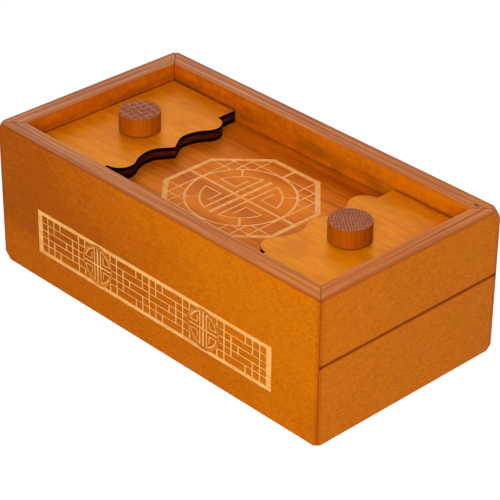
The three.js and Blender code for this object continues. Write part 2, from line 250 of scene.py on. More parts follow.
class Value:
    """An output of a shader's nodes. Arithmetic on it adds Math nodes."""

    def __init__(self, nodes, socket):
        self.nodes = nodes
        self.socket = socket

    def math(self, operation, first, second=0.0, clamp=False):
        settings = {"operation": operation, "use_clamp": clamp}
        return self.nodes.node("ShaderNodeMath", settings, {0: first, 1: second})

    __add__, __radd__ = both_ways("ADD")
    __sub__, __rsub__ = both_ways("SUBTRACT")
    __mul__, __rmul__ = both_ways("MULTIPLY")
    __truediv__, __rtruediv__ = both_ways("DIVIDE")

    def __abs__(self):
        return self.math("ABSOLUTE", self)

    def cosine(self):
        return self.math("COSINE", self)

    def to_and_fro(self, reach):
        """Rises to a reach and falls again, over and over."""
        return self.math("PINGPONG", self, reach)

    def clamped(self):
        return self.math("ADD", self, 0.0, clamp=True)


class Nodes:
    """The nodes of a material or of the world."""

    def __init__(self, tree):
        self.tree = tree

    def node(self, kind, settings=None, inputs=None, output=0):
        """Adds a node: its settings first, then the values or links of its sockets."""
        made = self.tree.nodes.new(kind)
        for name, value in (settings or {}).items():
            setattr(made, name, value)
        sockets = {socket.identifier: socket for socket in made.inputs}
        for name, value in (inputs or {}).items():
            self.feed(sockets.get(name) or made.inputs[name], value)
        return Value(self, made.outputs[output])

    def feed(self, socket, value):
        if isinstance(value, Value):
            self.tree.links.new(value.socket, socket)
        elif socket.type == "RGBA" and len(value) == 3:
            socket.default_value = (*value, 1.0)
        else:
            socket.default_value = value

    def ramp(self, value, low, high, start=0.0, end=1.0):
        """Takes a value from low..high to start..end, smoothly and without running over."""
        inputs = {"Value": value, "From Min": low, "From Max": high, "To Min": start, "To Max": end}
        settings = {"interpolation_type": "SMOOTHSTEP", "clamp": True}
        return self.node("ShaderNodeMapRange", settings, inputs)

    def mix(self, share, first, second, blend="MIX"):
        settings = {"data_type": "RGBA", "blend_type": blend, "clamp_factor": True}
        inputs = {"Factor_Float": share, "A_Color": first, "B_Color": second}
        return self.node("ShaderNodeMix", settings, inputs, 2)

    def seen(self):
        """1 to the camera, in reflections and through glass, and 0 where it lights the box."""
        camera, glossy, clear = (
            self.node("ShaderNodeLightPath", output=f"Is {ray} Ray")
            for ray in ("Camera", "Glossy", "Transmission")
        )
        return (camera + glossy + clear).clamped()


class Finish(Nodes):
    """A material: coats of colour over each other, a roughness and a relief."""

    def __init__(self, name, refraction=1.5, gloss=0.5, tint=WHITE, metal=0.0):
        self.material = bpy.data.materials.new(name)
        self.material.use_nodes = True
        super().__init__(self.material.node_tree)
        self.shader = self.tree.nodes["Principled BSDF"]
        self.set("IOR", refraction)
        self.set("Specular IOR Level", gloss)
        self.set("Specular Tint", tint)
        self.set("Metallic", metal)
        self.place = self.node("ShaderNodeTexCoord", output="Object")

    def set(self, socket, value):
        self.feed(self.shader.inputs[socket], value)

    def along(self, axis):
        """The place along one axis, in metres."""
        return self.node("ShaderNodeSeparateXYZ", None, {"Vector": self.place}, AXES[axis])

    def mapped(self, scale, move):
        inputs = {"Vector": self.place, "Scale": scale, "Location": move}
        return self.node("ShaderNodeMapping", {"vector_type": "POINT"}, inputs)

    def noise(self, scale, move, detail=3.0, roughness=0.55, distortion=0.0):
        """Noise that repeats about so many times a metre along each axis."""
        inputs = {"Vector": self.mapped(scale, move), "Scale": 1.0, "Detail": detail,
                  "Roughness": roughness, "Distortion": distortion}
        return self.node("ShaderNodeTexNoise", {"noise_dimensions": "3D"}, inputs)

    def grain(self, axis, lengthwise, crosswise, seed, detail=4.0, distortion=0.0):
        """Noise that is drawn out along one axis."""
        scale = [crosswise] * 3
        scale[AXES[axis]] = lengthwise
        return self.noise(scale, (seed, seed * 0.7, seed * 1.3), detail, 0.6, distortion)

    def base(self, tone):
        self.tone = tone

    def coat(self, tone, share, low=None, high=None, most=1.0, blend="MIX"):
        """Lays a tone over those so far, by a share, or by a value that goes from low to high."""
        if low is not None:
            share = self.ramp(share, low, high, 0.0, most)
        self.tone = self.mix(share, self.tone, tone, blend)

    def done(self, rough, relief):
        """Takes a ramp for the roughness, and the height, depth in mm and strength of the relief."""
        height, depth, strength = relief
        bump = {"Height": height, "Distance": depth * MM, "Strength": strength}
        self.set("Base Color", self.tone)
        self.set("Roughness", self.ramp(*rough))
        self.set("Normal", self.node("ShaderNodeBump", None, bump))
        return self.material


# Finishes

def outer_stain(name, axis, case, seed):
    """Outer stain under painted light: shade painted at the left end of the long sides, light painted
    towards the right, and the ends painted lighter low down.
    """
    finish = Finish(name, 1.45, 0.03 if axis == "X" else 0.08, (1.0, 0.6, 0.3))
    streaks = finish.grain(axis, 34, 420, seed, 4.0, 0.4)
    fine = finish.grain(axis, 210, 1500, seed + 3, 3.0)
    clouds = finish.noise((30, 30, 40), (seed, 2, 5), 2.0)
    mottle = finish.grain(axis, 190, 440, seed + 1, 3.0)
    speckle = finish.grain(axis, 850, 1700, seed + 5, 3.0)
    along, across, height = (finish.along(way) for way in "XYZ")
    # Painted light: reach darkens the left end of the long sides, lightens them to the right, and lightens
    # the ends low down.
    if axis == "X":
        upper = finish.ramp(along + (height - 45 * MM) * 1.2, -76 * MM, 40 * MM, 0.1, 0.94)
        lower = finish.ramp(along, -90 * MM, 90 * MM, 0.48, 0.86)
        reach = upper + (lower - upper) * finish.ramp(height, 26 * MM, 9 * MM)
    else:
        reach = finish.ramp(height + across * 0.5, 0.0, 50 * MM, 1.0, 0.62)
    tone = reach + (clouds - 0.5) * 0.6 + (mottle - 0.5) * 0.55
    finish.base(case.stain_deep)
    finish.coat(case.stain if axis == "X" else case.stain_end, tone, 0.0, 0.6)
    finish.coat(case.stain_bright, tone, 0.5, 1.0)
    finish.coat(case.stain_bright, streaks, 0.5, 0.8, 0.35)
    finish.coat(case.stain_deep, fine, 0.42, 0.78, 0.3)
    specks = finish.mix(finish.ramp(speckle, 0.3, 0.7), (0.86, 0.84, 0.8), (1.14, 1.16, 1.2))
    finish.coat(specks, 1.0, blend="MULTIPLY")
    wander = (mottle - 0.5) * 0.5 * MM
    mitre = abs(case_high.x - abs(along) - (case_high.y - abs(across)))
    # Painted shade over the rounded corner beside each mitre, then the dark joint line, a dark line below
    # the rim and the dark split line.
    dark = (
        finish.ramp(mitre, 2.4 * MM, 0.4 * MM, 0.0, 0.4) + finish.ramp(mitre, 0.5 * MM, 0.15 * MM, 0.0, 0.3)
        + finish.ramp(height + wander, rim_height - 0.9 * MM, rim_height - 0.4 * MM, 0.0, 0.55)
    )
    if axis == "Y":
        split = finish.ramp(abs(height - split_level + wander), 1.2 * MM, 0.4 * MM, 0.0, 0.75)
        dark = dark + split * finish.ramp(along, 0.0, MM)
    finish.coat(case.edge_stain_and_shade, dark.clamped())
    return finish.done((fine + streaks * 0.5, 0.5, 1.1, 0.38, 0.54), (fine * 0.6 + streaks * 0.4, 0.06, 0.5))


def inner_stain(name, axis, case, seed):
    """Satin stain on the inner walls, with painted shade towards their foot and where they meet the panel
    and the scorched plates, and dark blotches near the foot.
    """
    finish = Finish(name, 1.45, 0.2, metal=0.12)
    streaks = finish.grain(axis, 16, 420, seed)
    fine = finish.grain(axis, 110, 2200, seed + 3, 2.0)
    clouds = finish.noise((40, 40, 60), (seed, 2, 5), 2.0)
    mottle = finish.noise((420, 420, 480), (3, seed, 1))
    along = finish.along("X")
    reach = finish.ramp(along, -80 * MM, 60 * MM, -0.1, 0.1)
    finish.base(case.inside_deep)
    finish.coat(case.inside, clouds * 0.3 + mottle * 0.45 + streaks * 0.25 + reach, 0.34, 0.66)
    finish.coat(case.inside_deep, fine, 0.56, 0.72, 0.4)
    above_plate = finish.along("Z") - plate_high.z
    wander = (mottle - 0.5) * 1.2 * MM
    # Painted shade towards the foot of the wall, then dark blotches there.
    finish.coat(case.inside_deep, above_plate + wander, 3.2 * MM, 0.0, 0.35)
    blotch = finish.ramp(clouds * 0.6 + streaks * 0.4, 0.46, 0.6)
    finish.coat(case.joint, blotch * finish.ramp(above_plate + wander, 4.5 * MM, MM, 0.0, 0.45))
    # Painted shade: dark lines where the wall meets the plates and the panel.
    plate_shade_line = finish.ramp(above_plate + wander * 0.6, 0.8 * MM, 0.1 * MM, 0.0, 0.45)
    beside_plate = finish.ramp(abs(along), 42 * MM, 43 * MM)
    above_panel = above_plate + (plate_high.z - panel_top)
    panel_shade_line = finish.ramp(above_panel + wander * 0.6, 0.9 * MM, 0.3 * MM, 0.0, 0.6)
    finish.coat(case.joint, (panel_shade_line + plate_shade_line * beside_plate).clamped())
    return finish.done((fine + streaks * 0.5, 0.5, 1.1, 0.34, 0.5), (fine * 0.6 + streaks * 0.4, 0.06, 0.5))


def rim_finish(name, across, run, case, seed):
    """Plies on edge along the rim: pale and dark bands, a painted sheen that is stronger to the left,
    painted shade on the rounded outer edge, and dark mitre lines.
    """
    finish = Finish(name, 1.5, 0.35, (1.0, 0.75, 0.5), 0.1)
    depth, other = (case_high[AXES[axis]] - abs(finish.along(axis)) for axis in (across, run))
    wander = finish.grain(run, 10, 80, seed, 2.0) - 0.5
    streaks = finish.grain(run, 22, 1250, seed + 2, 3.0, 0.2)
    flecks = finish.grain(run, 190, 2500, seed + 5, 2.0)
    phase = (depth - 2.5 * MM) / (2 * case.ply) + wander * 0.5
    light = (phase * math.tau).cosine() * 0.15 + (streaks - 0.5) * 2.4 + 0.53
    finish.base(case.rim_dark)
    finish.coat(case.rim, light, -0.1, 0.55)
    finish.coat(case.rim_pale, light, 0.45, 1.1)
    finish.coat(case.rim_dark, flecks, 0.58, 0.74, 0.5)
    # Painted sheen: the rim is paler and bluer to the left and warmer to the right.
    side = finish.ramp(finish.along("X"), -80 * MM, 80 * MM)
    finish.coat(finish.mix(side, (0.88, 1.0, 1.9), (0.95, 0.87, 0.4)), 1.0, blend="MULTIPLY")
    # Painted shade: the rounded outer edge is darker where it misses the sheen.
    finish.coat(case.rim_outer_shade, depth + wander * 1.2 * MM, 1.9 * MM, 0.2 * MM, 0.8)
    finish.coat(case.joint, abs(depth - other), 0.4 * MM, 0.15 * MM, 0.6)
    if run == "X":
        finish.coat(case.crack, rim_voids(finish, depth, streaks))
    return finish.done((streaks, 0.3, 0.7, 0.5, 0.36), (streaks * 0.7 + flecks * 0.3, 0.12, 0.6))


def rim_voids(finish, depth, streaks):
    """The gap in one ply of the far rim: a thin line that ends in a small open void."""
    along = finish.along("X")
    line = finish.ramp(abs(depth - 4.0 * MM + (streaks - 0.5) * 0.8 * MM), 0.32 * MM, 0.1 * MM)
    line = line * finish.ramp(along, 18 * MM, 60 * MM, 0.0, 0.7)
    void_x = (along - 77.5 * MM) / (1.5 * MM)
    void_y = (depth - 4.6 * MM) / (0.6 * MM)
    void = finish.ramp(void_x * void_x + void_y * void_y, 1.1, 0.6)
    return (line + void).clamped() * finish.ramp(finish.along("Y"), 30 * MM, 31 * MM)


def scorched_joint(name, case, seed):
    """Scorched wood inside the mitres and the split."""
    finish = Finish(name, 1.4, 0.05)
    soot = finish.noise((700, 700, 700), (seed, 1, 3))
    finish.base(darker(case.joint, 0.5))
    finish.coat(case.joint, soot, 0.35, 0.65)
    return finish.done((soot, 0.3, 0.7, 0.6, 0.8), (soot, 0.08, 0.5))


def ply_edge(name, across, run, tones, pitch, gloss, rough):
    """Sawn plies seen on edge: bands across the thickness, each with streaks along its run."""
    middle, dark, pale = tones
    finish = Finish(name, 1.5, gloss, (1.0, 0.8, 0.55))
    wander = finish.grain(run, 22, 60, 0.0, 2.0) - 0.5
    depth = finish.along(across) / pitch + wander * 0.5 + 0.25
    wave = abs(depth.to_and_fro(1.0) - 0.5)
    streaks = finish.grain(run, 34, 1150, 2.0, 3.0, 0.3)
    flecks = finish.grain(run, 160, 2600, 5.0, 2.0)
    finish.base(dark)
    finish.coat(middle, streaks, 0.36, 0.62)
    finish.coat(pale, streaks * 0.6 + wave * 0.5, 0.44, 0.72, 0.8)
    finish.coat(dark, wave, 0.06, 0.0, 0.55)
    finish.coat(dark, flecks, 0.6, 0.75, 0.45)
    return finish.done((streaks, 0.3, 0.7, rough + 0.1, rough - 0.06),
                       (streaks * 0.7 + flecks * 0.3, 0.12, 0.6))


def figured_panel(plates):
    """The medallion panel: coarse grain with long dark streaks, and painted shade beside the walls."""
    finish = Finish("figured_panel", 1.5, 0.2, (1.0, 0.8, 0.5), 0.34)
    wander = finish.noise((20, 45, 20), (2.0, 0, 0), 2.0)
    broad = finish.grain("X", 9, 150, 2.0, 5.0, 0.6)
    streaks = finish.grain("X", 24, 700, 6.0, 4.0, 0.4)
    fine = finish.grain("X", 140, 2300, 10.0, 2.0)
    deep = plates.panel_deep
    finish.base(deep)
    finish.coat(plates.panel, broad * 0.5 + streaks * 0.4 + wander * 0.25, 0.4, 0.68)
    finish.coat(deep, streaks, 0.52, 0.74, 0.35)
    finish.coat(deep, fine, 0.52, 0.74, 0.4)
    # Painted shade beside the near and far walls.
    finish.coat(darker(deep, 0.35), abs(finish.along("Y")), 17 * MM, 28 * MM, 0.14)
    return finish.done((streaks + fine * 0.5, 0.5, 1.1, 0.3, 0.48), (streaks * 0.6 + fine * 0.4, 0.1, 0.6))


def plate_honey(name, plates, seed):
    """The slide plates: even honey stain under satin lacquer, with painted shade beside the far wall and
    along the edges by the walls.
    """
    finish = Finish(name, 1.5, 0.2, (1.0, 0.85, 0.6), 0.36)
    clouds = finish.noise((34, 60, 34), (seed, 4, 1), 2.0)
    mottle = finish.noise((150, 320, 150), (seed, 7, 2))
    streaks = finish.grain("X", 60, 700, seed + 1, 3.0)
    fine = finish.grain("X", 320, 2100, seed + 6, 2.0)
    across = finish.along("Y")
    finish.base(plates.honey_deep)
    finish.coat(plates.honey, clouds * 0.35 + mottle * 0.3 + streaks * 0.35, 0.36, 0.6)
    finish.coat(plates.honey_deep, fine, 0.54, 0.72, 0.4)
    # Painted shade: a dark band along the edges by the walls and a broad one beside the far wall.
    side = plate_high.y - abs(across) + (mottle - 0.5) * 0.6 * MM
    far_wall_shade = finish.ramp(across + (clouds - 0.5) * 8 * MM, 19 * MM, 28 * MM, 0.0, 0.16)
    dark = finish.ramp(side, 0.9 * MM, 0.2 * MM, 0.0, 0.5) + far_wall_shade
    finish.coat(darker(plates.honey_deep, 0.35), dark.clamped())
    return finish.done((streaks + fine * 0.5, 0.5, 1.1, 0.28, 0.44), (fine * 0.5 + streaks * 0.5, 0.06, 0.5))


def engraved_wood(name, middle, dark, seed):
    """Bare wood at the bottom of the engraving, a little scorched."""
    finish = Finish(name, 1.45, 0.15, (1.0, 0.85, 0.6))
    streaks = finish.grain("X", 60, 900, seed, 3.0)
    mottle = finish.noise((420, 420, 420), (seed, 1, 2), 2.0)
    finish.base(dark)
    finish.coat(middle, streaks * 0.6 + mottle * 0.4, 0.36, 0.62)
    return finish.done((streaks, 0.3, 0.7, 0.6, 0.75), (streaks * 0.5 + mottle * 0.5, 0.05, 0.5))


def charred_edge(plates):
    """Laser-cut plywood edge: scorched outer plies and a lighter one between them."""
    finish = Finish("charred_edge", 1.4, 0.02)
    wander = finish.noise((240, 240, 90), (1, 2, 3), 2.0)
    soot = finish.noise((150, 150, 2200), (5, 2, 3))
    middle = (plate_low.z + plate_high.z) / 2
    depth = abs(finish.along("Z") - middle) / (plate_high.z - plate_low.z) * 2
    band = finish.ramp(abs(depth + wander * 0.3 - 0.35), 0.3, 0.05)
    finish.base(plates.char)
    finish.coat(plates.char_ply, (band * finish.ramp(soot, 0.36, 0.64, 0.1, 0.85)).clamped())
    return finish.done((soot, 0.3, 0.7, 0.5, 0.8), (soot * 0.7 + depth * 0.3, 0.1, 0.5))


def knob_side(name, low, middle, right_shade, knobs, seed):
    """Upright grain on a knob's side, with painted shade on its right and a painted shade line at its foot.
    """
    finish = Finish(name, 1.45, 0.12, (1.0, 0.7, 0.4))
    streaks = finish.grain("Z", 40, 1300, seed, 4.0)
    fine = finish.grain("Z", 150, 2400, seed + 2, 2.0)
    clouds = finish.noise((90, 90, 60), (seed, 2, 1), 2.0)
    # Painted shade darkens the knob's right side.
    right = (finish.along("X") - middle.x + finish.along("Y") - middle.y) / (16 * MM)
    tone = streaks * 0.6 + clouds * 0.4 - finish.ramp(right, 0.0, 0.7, 0.0, right_shade)
    finish.base(knobs.side_dark)
    finish.coat(knobs.side, tone, 0.3, 0.62)
    finish.coat(knobs.side_dark, fine, 0.55, 0.7, 0.5)
    # Painted shade: a dark line where the knob stands on the plate.
    foot = low.z + 0.6 * MM, low.z + 0.2 * MM
    finish.coat(darker(knobs.side_dark, 0.3), finish.along("Z"), *foot, 0.85)
    return finish.done((streaks, 0.3, 0.7, 0.36, 0.5), (streaks * 0.6 + fine * 0.4, 0.1, 0.6))


def knob_end_grain(name, middle, turn, marks, knobs, seed):
    """Sawn end grain: dark, with pale saw marks that cross each other."""
    finish = Finish(name, 1.5, 0.3, (1.0, 0.8, 0.7), 0.1)
    in_millimetres = finish.mapped((1 / MM, 1 / MM, 1 / MM), (-middle.x / MM, -middle.y / MM, 0))
    turned = finish.node("ShaderNodeVectorRotate", {"rotation_type": "Z_AXIS"},
                         {"Vector": in_millimetres, "Angle": turn})
    wander = finish.noise((190, 190, 190), (seed, 0, 0), 2.0)
    lines = 0.0
    for axis, (pitch, weight) in enumerate(marks):
        strength = finish.noise((330, 330, 330), (axis, seed, 0))
        across = finish.node("ShaderNodeSeparateXYZ", None, {"Vector": turned}, axis)
        line = (across / pitch + wander * 0.4).to_and_fro(0.5)
        drawn = finish.ramp(line, 0.24 / pitch, 0.04 / pitch) * finish.ramp(strength, 0.3, 0.56) * weight
        lines = (lines + drawn).clamped()
    pores = finish.noise((1500, 1500, 300), (seed, 3, 0), 2.0)
    finish.base(knobs.end_grain)
    finish.coat(darker(knobs.end_grain, 0.5), pores, 0.42, 0.65, 0.6)
    finish.coat(knobs.saw_line, lines * 0.75)
    return finish.done((pores, 0.35, 0.65, 0.42, 0.6), (pores * 0.5 + lines * 0.5, 0.08, 0.6))


def bare_wood(name, axis, case, seed):
    finish = Finish(name, 1.45, 0.35)
    broad = finish.grain(axis, 8, 120, seed, 4.0, 0.4)
    streaks = finish.grain(axis, 20, 700, seed + 2, 3.0)
    fine = finish.grain(axis, 130, 2400, seed + 5, 2.0)
    finish.base(case.bare_dark)
    finish.coat(case.bare, broad * 0.5 + streaks * 0.5, 0.34, 0.62)
    finish.coat(case.bare_dark, fine, 0.6, 0.75, 0.4)
    return finish.done((streaks, 0.3, 0.7, 0.58, 0.72), (streaks * 0.6 + fine * 0.4, 0.08, 0.6))


def plated_metal(name, tone, seed):
    """Plated metal with fine scratches and dull patches."""
    finish = Finish(name, metal=1.0)
    clouds = finish.noise((600, 600, 600), (seed, 0, 0))
    scratches = finish.noise((400, 9000, 400), (0, seed, 0), 2.0)
    finish.base(darker(tone, 0.8))
    finish.coat(tone, clouds, 0.35, 0.65)
    return finish.done((clouds * 0.6 + scratches * 0.4, 0.35, 0.65, 0.26, 0.42), (scratches, 0.01, 0.4))


# Shapes

def merged_copy(node):
    """A node's mesh with its loose triangles merged into flat faces."""
    shape = bmesh.new()
    shape.from_mesh(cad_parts[node].data)
    bmesh.ops.remove_doubles(shape, verts=shape.verts, dist=WELD)
    bmesh.ops.dissolve_limit(shape, angle_limit=FLAT, verts=shape.verts, edges=shape.edges)
    return shape


def ease(shape, geometry, width, segments=2, affect="EDGES"):
    """Rounds edges, or cuts off corners."""
    bmesh.ops.bevel(
        shape, geom=geometry, offset=width, offset_type="OFFSET", segments=segments, profile=0.5,
        affect=affect, clamp_overlap=True, material=-1,
    )


def edges_between(shape, first, second):
    """The edges with one face that passes the first test and one that passes the second."""
    found = []
    for edge in shape.edges:
        if len(edge.link_faces) == 2:
            one, other = edge.link_faces
            if (first(one) and second(other)) or (first(other) and second(one)):
                found.append(edge)
    return found


def facing(direction):
    """A test for faces that look one way."""
    wanted = Vector(direction)
    return lambda face: face.normal.dot(wanted) > 0.99


def is_upright(face):
    return abs(face.normal.z) < 0.1


def choose_finishes(shape, choose):
    """Gives each face the number of its finish, by its middle and its normal."""
    for face in shape.faces:
        face.material_index = choose(face.calc_center_median(), face.normal)


def new_object(name, shape):
    mesh = bpy.data.meshes.new(name)
    shape.to_mesh(mesh)
    shape.free()
    made = bpy.data.objects.new(name, mesh)
    bpy.context.scene.collection.objects.link(made)
    return made


def make_piece(name, shape, body, finishes, node):
    """Turns a shape into a piece that rides on a body and stands for a node."""
    bmesh.ops.triangulate(shape, faces=[face for face in shape.faces if len(face.verts) > 4])
    piece = new_object(name, shape)
    mesh = piece.data
    for kept in ("custom_normal", "sharp_edge"):
        if kept in mesh.attributes:
            mesh.attributes.remove(mesh.attributes[kept])
    for finish in finishes:
        mesh.materials.append(finish)
    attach(piece, body)
    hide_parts(node)
    return piece


def settle_normals(piece):
    """Smooth rounds beside flat faces."""
    piece.data.shade_smooth()
    piece.data.set_sharp_from_angle(angle=SHARP)
    weighted = piece.modifiers.new("weighted_normals", "WEIGHTED_NORMAL")
    weighted.keep_sharp = True
    weighted.weight = 50


def combine(piece, operation, others):
    """Adds other objects to a piece, takes them out of it or keeps what they share. Removes them."""
    group = bpy.data.collections.new("others")
    for other in others:
        group.objects.link(other)
    step = piece.modifiers.new("combine", "BOOLEAN")
    step.operation = operation
    step.solver = "MANIFOLD"
    step.material_mode = "INDEX"
    step.operand_type = "COLLECTION"
    step.collection = group
    bpy.context.view_layer.update()
    graph = bpy.context.evaluated_depsgraph_get()
    made = bpy.data.meshes.new_from_object(piece.evaluated_get(graph))
    piece.modifiers.clear()
    old = piece.data
    made.name = old.name
    piece.data = made
    bpy.data.meshes.remove(old)
    while made.materials and made.materials[-1] is None:
        made.materials.pop()
    bpy.data.collections.remove(group)
    for other in others:
        bpy.data.objects.remove(other)


def whole_block(skin):
    """A block as large as the case, and a hair more."""
    shape = bmesh.new()
    size = Vector((case_high.x + skin, case_high.y + skin, rim_height / 2 + skin)) * 2
    place = Matrix.Translation((0, 0, rim_height / 2)) @ Matrix.Diagonal((*size, 1))
    bmesh.ops.create_cube(shape, size=1, matrix=place)
    return shape


def corners_of(case):
    """The ways that each upright corner lies along X and Y, with its settings."""
    return zip(QUARTERS, (case.near_left, case.far_left, case.near_right, case.far_right))


def in_corner(point, way_x, way_y):
    return point.x * way_x > case_high.x and point.y * way_y > case_high.y


def is_tip(face, ways):
    """Whether a face looks these ways along X, Y and Z, and about as much along each."""
    outward = [part * way for part, way in zip(face.normal, ways)]
    same_along_each = 3 ** -1.5
    return min(outward) > 0 and math.prod(outward) > 0.3 * same_along_each


def tips_block(case):
    """The case as a block whose eight tips are cut off and rounded."""
    shape = whole_block(0.02 * MM)
    for (way_x, way_y), (_, foot, top) in corners_of(case):
        for reach, way_z in ((foot, -1), (top, 1)):
            tip = [v for v in shape.verts if in_corner(v.co, way_x, way_y)
                   and (v.co.z - rim_height / 2) * way_z > 0]
            ease(shape, tip, reach, 1, "VERTICES")
            cut = [face for face in shape.faces if is_tip(face, (way_x, way_y, way_z))]
            ends = [edge for edge in shape.edges if any(face in cut for face in edge.link_faces)]
            ease(shape, ends, reach * case.tip_round, 4)
    return new_object("tips_block", shape)


def outer_block(case):
    """The whole box from outside: rounded upright corners, then a rounded rim, foot and tips."""
    shape = whole_block(0.005 * MM)
    for ways, (width, _, _) in corners_of(case):
        upright = [edge for edge in shape.edges if all(in_corner(v.co, *ways) for v in edge.verts)]
        ease(shape, upright, width, 8)
    for way, width in ((1, case.rim_round), (-1, case.foot_round)):
        ease(shape, edges_between(shape, facing(UP * way), is_upright), width, 5)
    block = new_object("outer_block", shape)
    combine(block, "INTERSECT", [tips_block(case)])
    for _ in ("outer stain", "rim"):
        block.data.materials.append(None)
    for polygon in block.data.polygons:
        polygon.material_index = 1 if polygon.normal.z > 0.75 else 0
    return block


# Engraved patterns, drawn flat with +X to the right and +Y up

class Pattern:
    """Flat strokes that are gathered into one cutter."""

    def __init__(self, name, depth):
        self.name = name
        self.depth = depth
        self.strokes = []
        self.gaps = []

    def solid(self, shape, kept):
        """Raises the shape's one flat face to both sides of the surface."""
        bmesh.ops.recalc_face_normals(shape, faces=shape.faces)
        raised = bmesh.ops.extrude_face_region(shape, geom=list(shape.faces), use_keep_orig=True)
        top = [v for v in raised["geom"] if isinstance(v, bmesh.types.BMVert)]
        bmesh.ops.translate(shape, verts=top, vec=(0, 0, 2 * self.depth))
        bmesh.ops.translate(shape, verts=shape.verts, vec=(0, 0, -self.depth))
        bmesh.ops.recalc_face_normals(shape, faces=shape.faces)
        kept.append(new_object(self.name, shape))

    def stroke(self, start, end, width):
        """A straight bar between two points."""
        start, end = Vector(start), Vector(end)
        run = end - start
        place = (
            Matrix.Translation(((start + end) / 2).to_3d())
            @ Matrix.Rotation(math.atan2(run.y, run.x), 4, "Z")
            @ Matrix.Diagonal((run.length, width, 1, 1))
        )
        shape = bmesh.new()
        bmesh.ops.create_grid(shape, x_segments=1, y_segments=1, size=0.5, matrix=place)
        self.solid(shape, self.strokes)

    def bar(self, left, low, right, high):
        middle = (low + high) / 2
        self.stroke((left, middle), (right, middle), high - low)

    def disc(self, middle, radius):
        """A round gap that later strokes don't see."""
        shape = bmesh.new()
        place = Matrix.Translation((*middle, 0))
        bmesh.ops.create_circle(shape, cap_ends=True, radius=radius, segments=72, matrix=place)
        self.solid(shape, self.gaps)

    def arc(self, middle, radius, width, start, sweep, steps):
        """A curved stroke: a short line across the stroke is spun round the middle."""
        shape = bmesh.new()
        centre = Vector((*middle, 0))
        across = Vector((math.cos(start), math.sin(start), 0))
        ends = [shape.verts.new(centre + across * (radius + way * width / 2)) for way in WAYS]
        bmesh.ops.spin(
            shape, geom=[*ends, shape.edges.new(ends)], cent=centre, axis=UP, angle=sweep,
            steps=steps, use_merge=sweep == math.tau,
        )
        self.solid(shape, self.strokes)

    def circle(self, middle, radius, width):
        self.arc(middle, radius, width, 0, math.tau, 96)

    def octagon(self, corner_radius, width):
        shape = bmesh.new()
        half_side = math.pi / 8
        rings = []
        for reach in (corner_radius, corner_radius - width / math.cos(half_side)):
            made = bmesh.ops.create_circle(shape, cap_ends=False, radius=reach, segments=8,
                                           matrix=Matrix.Rotation(half_side, 4, "Z"))
            rings += [edge for v in made["verts"] for edge in v.link_edges]
        bmesh.ops.bridge_loops(shape, edges=list(set(rings)))
        self.solid(shape, self.strokes)

    def join_strokes(self):
        """Joins the strokes drawn so far and takes the gaps out of them."""
        whole, *others = self.strokes
        combine(whole, "UNION", others)
        if self.gaps:
            combine(whole, "DIFFERENCE", self.gaps)
        self.strokes = [whole]
        self.gaps = []
        return whole

    def cutter(self, place, finish_number):
        """All strokes as one closed shape, set on the surface they are cut into."""
        mesh = self.join_strokes().data
        mesh.transform(place)
        for _ in range(finish_number + 1):
            mesh.materials.append(None)
        for polygon in mesh.polygons:
            polygon.material_index = finish_number
        return self.strokes

    def longevity_figure(self, middle, radius, upright, side, hook):
        """The round figure: three uprights, and a hook in each quarter."""
        x, y = middle
        side_place, hook_level = radius * 0.237, radius * 0.235
        hook_inner, hook_turn = radius * 0.43, radius * 0.66
        half = math.sqrt(radius ** 2 - side_place ** 2)
        outer = math.sqrt((radius - hook / 2) ** 2 - hook_level ** 2)
        self.bar(x - upright / 2, y - radius, x + upright / 2, y + radius)
        for way in WAYS:
            left = x + way * side_place - side / 2
            self.bar(left, y - half, left + side, y + half)
            for rise in WAYS:
                start = math.atan2(rise * half, way * side_place)
                end = math.atan2(rise * hook_level, way * radius)
                sweep = (end - start + math.pi) % math.tau - math.pi
                self.arc(middle, radius - hook / 2, hook, start, sweep, 14)
                inner, level = x + way * hook_inner, y + rise * hook_level
                self.stroke((inner, level), (x + way * outer, level), hook)
                lap = rise * hook * 0.52
                self.stroke((inner, level - lap), (inner, y + rise * hook_turn), hook)


def engrave(piece, pattern, place, finish_number):
    combine(piece, "DIFFERENCE", pattern.cutter(place, finish_number))


def scorch_walls(piece, carved, burnt, outward):
    """Gives the steep faces of an engraving their own burnt finish."""
    for polygon in piece.data.polygons:
        if polygon.material_index in carved and abs(polygon.normal.dot(outward)) < 0.5:
            polygon.material_index = burnt


# Operators

